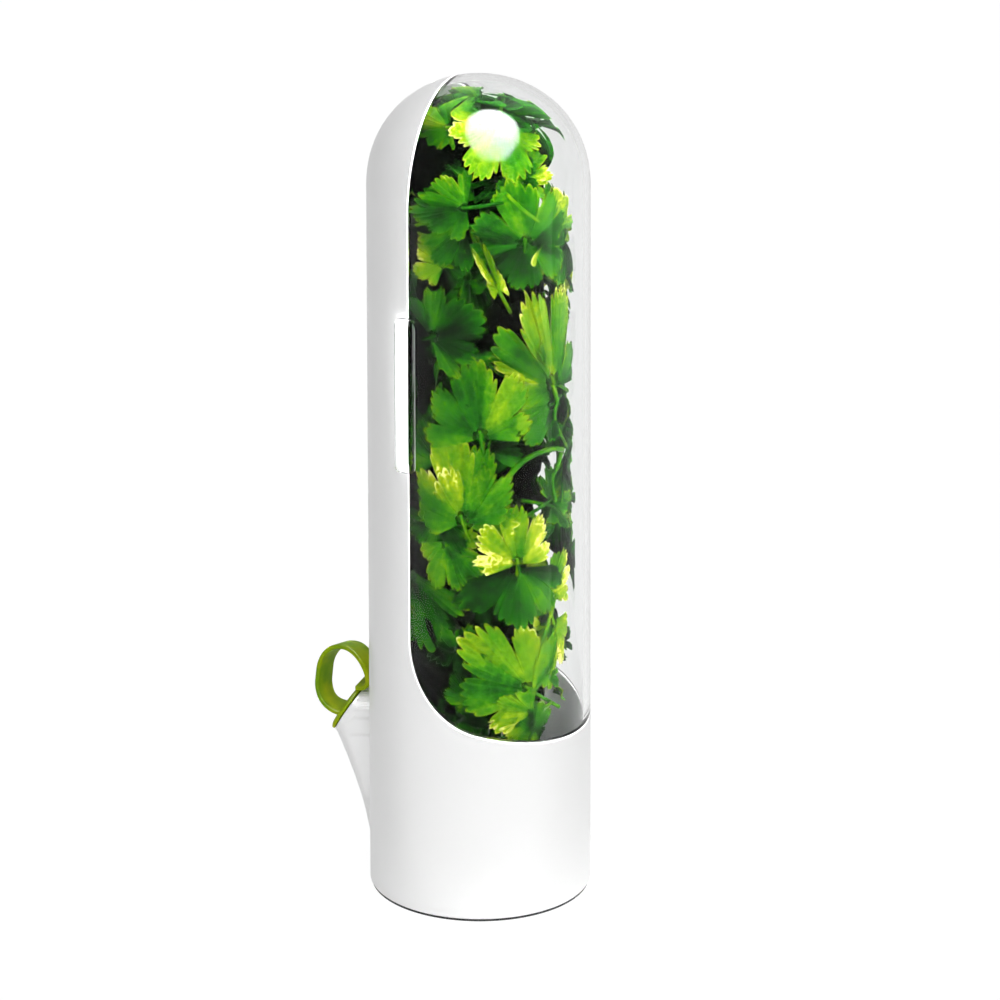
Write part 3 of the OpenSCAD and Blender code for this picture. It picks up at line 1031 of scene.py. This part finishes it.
for i, leaf in enumerate(FRONT_LEAVES):
    base = from_view(*leaf.stalk, leaf.depth - 1.5)
    tip = from_view(*leaf.tip, leaf.depth)
    middle = (base + tip) / 2
    radial = np.array([middle[0], middle[1], 0.0]) / hypot(middle[0], middle[1])
    size = float(np.linalg.norm(tip - base))
    verts, faces, tones = make_leaf(size, i, leaf.tone, 0.03, 0.08, 0.08 * (-1) ** i, squeeze=leaf.width)
    points = place(verts, base, tip - base, radial * 0.35 + CAM_BACK * 0.8)
    front.add(keep_in(points, max(HERB_R, leaf.depth)), faces, tones)
    along = (tip - base) / size
    start = base + along * 0.1 * size + radial * 0.3
    bend = base - along * 0.12 * size - radial * 1.2
    end = base - along * 0.5 * size - radial * 6
    stalk = smooth_line([start, bend, end], STALK_POINTS)
    verts, faces = tube(stalk, np.linspace(0.5, 0.6, STALK_POINTS))
    front.add(keep_in(verts), faces, [leaf.tone] * len(verts))
front.build()

# the dark gaps between the leaves, by the pixels of their middle and half size
Gap = namedtuple("Gap", "middle half")
GAPS = [
    Gap(middle=(440, 178), half=(28, 26)),
    Gap(middle=(497, 302), half=(22, 24)),
    Gap(middle=(530, 392), half=(22, 11)),
    Gap(middle=(533, 438), half=(26, 21)),
    Gap(middle=(526, 482), half=(24, 25)),
    Gap(middle=(448, 535), half=(16, 13)),
    Gap(middle=(440, 590), half=(28, 24)),
    Gap(middle=(500, 578), half=(16, 18)),
    Gap(middle=(428, 690), half=(22, 24)),
]


def in_gap(u, v):
    """Whether the pixel lies in one of the dark gaps."""
    return any(((u - g.middle[0]) / g.half[0]) ** 2 + ((v - g.middle[1]) / g.half[1]) ** 2 < 1 for g in GAPS)


# the middle layer behind the front leaves, deep green with painted shade, kept off the gaps
MIDDLE_LEAVES = 54
MIDDLE_LEFT, MIDDLE_RIGHT, MIDDLE_LOW = 402, 578, 742
middle_layer = Clump("herb_leaves_middle", LEAF)
count = 0
while count < MIDDLE_LEAVES:
    u, v = rng.uniform(405, 578), rng.uniform(85, 745)
    turn = rng.uniform(0, 2 * pi)
    reach = rng.uniform(28, 46)
    u1, v1 = u + reach * cos(turn), v + reach * sin(turn)
    across = 0.75 * reach * sin(turn), -0.75 * reach * cos(turn)
    spots = [(u, v), (u1, v1), ((u + u1) / 2, (v + v1) / 2)]
    spots += [((u + u1) / 2 + s * across[0], (v + v1) / 2 + s * across[1]) for s in (-1, 1)]
    if any(in_gap(*spot) for spot in spots) or not MIDDLE_LEFT < u1 < MIDDLE_RIGHT or v1 > MIDDLE_LOW:
        continue
    depth = rng.uniform(20, 25.5)
    base, tip = from_view(u, v, depth), from_view(u1, v1, depth)
    size = float(np.linalg.norm(tip - base))
    if size > 20:
        continue
    # painted shade: these leaves get dark tones as they lie behind the front ones; painted light: those on
    # the right of the view, where the key light falls, get 0.14 more
    tone = rng.choice([0.1, 0.2, 0.3, 0.42]) + (0.14 if u > 540 else 0.0)
    twist = rng.uniform(-0.2, 0.2)
    verts, faces, tones = make_leaf(size, count, tone, 0.03, 0.1, twist, n_around=121, n_rings=5)
    tilt = rng.normal(0, 0.3, 3)
    middle_layer.add(keep_in(place(verts, base, tip - base, CAM_BACK + tilt), MIDDLE_R), faces, tones)
    count += 1
middle_layer.build()

# the rest of the bunch: leaves round the outside, and within them near-black leaves as painted shade
ROUND_LEAVES = 250
INNER_SHARE = 0.45
outside = Clump("herb_leaves_round", LEAF)
inside = Clump("herb_leaves_painted_shade", PAINTED_SHADE)
for i in range(ROUND_LEAVES):
    z = rng.uniform(64, 256)
    a = rng.uniform(0, 2 * pi)
    layer = rng.uniform()
    radius = MIDDLE_R if layer > INNER_SHARE else rng.uniform(13, 20)
    origin = np.array([radius * cos(a), radius * sin(a), z])
    tip = np.array([rng.normal(0, 0.5), rng.normal(0, 0.5), rng.normal(0.4, 0.6)])
    normal = np.array([cos(a), sin(a), rng.normal(0.2, 0.3)]) + rng.normal(0, 0.25, 3)
    tone = rng.uniform(0.2, 0.7)
    size = rng.uniform(11, 19)
    shape = rng.uniform(-0.1, 0.2), rng.uniform(0, 0.3), rng.uniform(-0.2, 0.2)
    # painted shade: the inner layer, and the outer leaves on the camera's side, are drawn in and given the
    # near-black painted-shade green
    facing = float(np.dot(origin[:2] / radius, CAM_BACK[:2]))
    round_about = layer > INNER_SHARE and facing < 0.3
    if not round_about:
        origin[:2] *= 0.8
    verts, faces, tones = make_leaf(size, i, tone, *shape, n_around=101, n_rings=5)
    points = place(verts, origin, tip, normal)
    if round_about:
        outside.add(keep_in(points), faces, tones)
    else:
        inside.add(keep_in(points, WITHIN_R), faces, tones)
outside.build()
inside.build()


Stem = namedtuple("Stem", "pixels depth thick tone")

# stems that the photograph shows: the pixels along each, its depth, thickness and tone
FRONT_STEMS = [
    Stem(
        pixels=((500, 500), (507, 478), (525, 459), (548, 449), (562, 449)),
        depth=27.5, thick=1.0, tone=0.68),
    Stem(pixels=((560, 452), (556, 466), (551, 478), (554, 500)), depth=27.0, thick=0.8, tone=0.68),
    Stem(
        pixels=((533, 722), (533, 690), (537, 655), (549, 616), (556, 590)),
        depth=28.6, thick=0.8, tone=0.78),
    Stem(pixels=((532, 694), (541, 682), (553, 676)), depth=28.0, thick=0.7, tone=0.66),
    Stem(pixels=((517, 563), (519, 575), (513, 592)), depth=28.0, thick=0.5, tone=0.5),
    Stem(pixels=((552, 386), (556, 400), (554, 420), (566, 446)), depth=28.0, thick=0.7, tone=0.68),
]
STEM_POINTS = 30
INNER_STEMS = 26
INNER_STEM_POINTS = 26
STEM_FOOT_Z = 6
stems = Clump("herb_stems", LEAF)
for stem in FRONT_STEMS:
    line = smooth_line([from_view(u, v, stem.depth) for u, v in stem.pixels], STEM_POINTS)
    verts, faces = tube(line, np.linspace(stem.thick, stem.thick * 0.7, STEM_POINTS))
    stems.add(keep_in(verts), faces, [stem.tone] * len(verts))
for i in range(INNER_STEMS):
    a = rng.uniform(0, 2 * pi)
    r0, r1 = rng.uniform(2, 20), rng.uniform(8, 22)
    top = rng.uniform(110, 235)
    turn = rng.normal(0, 0.5)
    t = np.linspace(0, 1, INNER_STEM_POINTS)
    rr = r0 + (r1 - r0) * t + 2.0 * np.sin(t * 6 + i)
    aa = a + turn * t
    line = np.column_stack([rr * np.cos(aa), rr * np.sin(aa), STEM_FOOT_Z + (top - STEM_FOOT_Z) * t])
    verts, faces = tube(line, np.linspace(1.3, 0.6, INNER_STEM_POINTS))
    stems.add(keep_in(verts), faces, [0.5] * len(verts))
stems.build()


HEART_ROWS, HEART_COLS = 110, 96
HEART_Z, HEART_H = 58, 200
HEART_TONE = 0.1


def build_core():
    """The near-black lumpy heart of the bunch, fuller towards the back: painted shade that stands for the
    deep shadow in the bunch and hides the white wall behind it.
    """
    verts = []
    for k in range(HEART_ROWS + 1):
        t = k / HEART_ROWS
        z = HEART_Z + HEART_H * t
        for a in turns(HEART_COLS):
            back = 0.5 + 0.5 * tanh(2.2 * (sin(a - 0.35) - 0.3))
            r = 16.0 + 11.0 * back
            r *= max(0.0, 1 - (2 * t - 1) ** 10) ** 0.5
            lumps = 0.05 * sin(5 * a + z * 0.21) + 0.04 * sin(3 * a - z * 0.33)
            r *= 1 + lumps + 0.03 * sin(9 * a + z * 0.5)
            verts.append((r * cos(a), r * sin(a), z))
    faces = grid_faces(HEART_ROWS + 1, HEART_COLS, wrap=True)
    obj = clean_up(new_mesh("herb_painted_shade_heart", keep_in(np.array(verts)), faces))
    set_tones(obj, [HEART_TONE] * len(obj.data.vertices))
    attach(paint(obj, PAINTED_SHADE), "shell")


build_core()

# ---------------- what rides on what
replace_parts(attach(shell, "shell"), "back_shell")
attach(lip, "shell")
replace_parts(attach(door, "door"), "front_door")
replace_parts(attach(plug, "plug"), "spout_plug")
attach(band, "plug")

# the nodes that are shown as they are packed
PACKED = {"base_plate": WHITE, "foot_pad": RUBBER, "hinge_pin_upper": STEEL, "hinge_pin_lower": STEEL}
for name, mat in PACKED.items():
    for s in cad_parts[name].material_slots:
        s.material = mat


# ---------------- stage, light and camera
GLOSS_SHARE, THROUGH_SHARE = 0.6, 0.2


def background_share(tree):
    """How much of the white background a ray sees: all from the camera, less by gloss or through a piece."""
    path = node(tree, "ShaderNodeLightPath")
    top = path.outputs["Is Camera Ray"]
    for name, share in (("Is Glossy Ray", GLOSS_SHARE), ("Is Transmission Ray", THROUGH_SHARE)):
        part = math_node(tree, "MULTIPLY", path.outputs[name], share)
        top = math_node(tree, "MAXIMUM", top, part)
    return top


def mix_shaders(tree, share, first, second, target):
    """Sends the two shaders, mixed by share, to the target's surface."""
    mix = node(tree, "ShaderNodeMixShader")
    for slot, source in zip(mix.inputs, (share, first.outputs[0], second.outputs[0])):
        wire(source, slot)
    wire(mix.outputs[0], tree.nodes[target].inputs["Surface"])


def build_world(level):
    """White where it is seen as background, and an even light of that level for the rest."""
    world = bpy.data.worlds.new("studio")
    bpy.context.scene.world = world
    world.use_nodes = True
    tree = world.node_tree
    plain = tree.nodes["Background"]
    plain.inputs["Color"].default_value = (1, 1, 1, 1)
    plain.inputs["Strength"].default_value = level
    white = node(tree, "ShaderNodeBackground", Color=(1, 1, 1, 1), Strength=1.0)
    mix_shaders(tree, background_share(tree), plain, white, "World Output")


def build_floor(glow, half=6000):
    """A pale floor that keeps the shadow and shows white to the camera."""
    corners = [(-half, -half, 0), (half, -half, 0), (half, half, 0), (-half, half, 0)]
    floor = new_mesh("floor", corners, [(0, 1, 2, 3)], smooth=False)
    m, tree, shader = material(
        "floor_white", Base_Color=(0.9, 0.9, 0.9, 1), Roughness=1.0, Specular_IOR_Level=0.0)
    light = node(tree, "ShaderNodeEmission", Color=(1, 1, 1, 1), Strength=1.06)
    share = math_node(tree, "MULTIPLY", background_share(tree), glow)
    mix_shaders(tree, share, shader, light, "Material Output")
    paint(floor, m)


def area_light(name, shape, size, power):
    data = bpy.data.lights.new(name, "AREA")
    data.shape = shape
    data.size, data.size_y = size
    data.energy = power
    return link(bpy.data.objects.new(name, data))


def direction(azimuth, elevation):
    """Azimuth as the camera's, in degrees: 0 is in front of the door, 90 on the +X side."""
    a, e = radians(azimuth), radians(elevation)
    return Vector((sin(a) * cos(e), -cos(a) * cos(e), sin(e)))


def face(obj, back, roll):
    """Turns a lamp or camera to look along -back, rolled by that many degrees."""
    obj.rotation_mode = "QUATERNION"
    turn = Matrix.Rotation(radians(roll), 3, "Z").to_quaternion()
    obj.rotation_quaternion = back.to_track_quat("Z", "Y") @ turn


def softbox(name, azimuth, elevation, distance, size, power, shape="RECTANGLE", roll=0):
    back = direction(azimuth, elevation)
    lamp = area_light(name, shape, size, power)
    lamp.location = Vector((0, 0, AIM_Z * MM)) + back * distance
    face(lamp, back, roll)
    return lamp


def floor_card(azimuth, start, size, power):
    """A pale card on the floor on the camera's side, that only shows in what the object mirrors."""
    lamp = area_light("card", "SQUARE", (size, size), power)
    lamp.location = direction(azimuth, 0) * (start + size / 2) + Vector((0, 0, 0.002))
    lamp.rotation_euler = (pi, 0, radians(azimuth))
    return lamp


build_world(level=0.425)
build_floor(glow=0.9)
# metres and watts
key = softbox("key", azimuth=-46, elevation=33, distance=2.2, size=(1.4, 1.4), power=18)
fill = softbox("fill", azimuth=-85, elevation=20, distance=2.4, size=(1.2, 1.6), power=4)
top_light = softbox("top", azimuth=0, elevation=78, distance=1.6, size=(1.2, 1.2), power=5, shape="DISK")
oval = {"azimuth": -23, "elevation": 73.5, "shape": "ELLIPSE", "roll": 50}
gleam = softbox("gleam", distance=1.5, size=(1.6, 1.12), power=1900, **oval)
halo = softbox("halo", distance=1.6, size=(1.95, 1.36), power=250, **oval)
card = floor_card(azimuth=-76, start=0.04, size=3.0, power=75)
# the first three only show in gloss, the others only in what is dull or clear
for lamp in (gleam, halo, card):
    lamp.visible_camera = False
    lamp.visible_diffuse = False
    lamp.visible_transmission = False
    lamp.visible_volume_scatter = False
for lamp in (key, fill, top_light):
    lamp.visible_camera = False
    lamp.visible_glossy = False


CAM_AZIMUTH, CAM_ELEVATION, CAM_ROLL = -69.4, 23.0, -0.137
CAM_DISTANCE = 4.443
CAM_SENSOR, CAM_LENS = 36, 508.7
AIM_RIGHT, AIM_UP = 6.49, -0.1


def build_camera():
    data = bpy.data.cameras.new("camera")
    data.sensor_width = CAM_SENSOR
    data.lens = CAM_LENS
    data.clip_end = 60
    cam = link(bpy.data.objects.new("camera", data))
    back = direction(CAM_AZIMUTH, CAM_ELEVATION)
    aim = np.array([0, 0, AIM_Z]) + CAM_RIGHT * AIM_RIGHT + CAM_UP * AIM_UP
    cam.location = Vector(aim * MM) + back * CAM_DISTANCE
    face(cam, back, CAM_ROLL)
    bpy.context.scene.camera = cam


build_camera()
bpy.context.scene.view_settings.view_transform = "Standard"
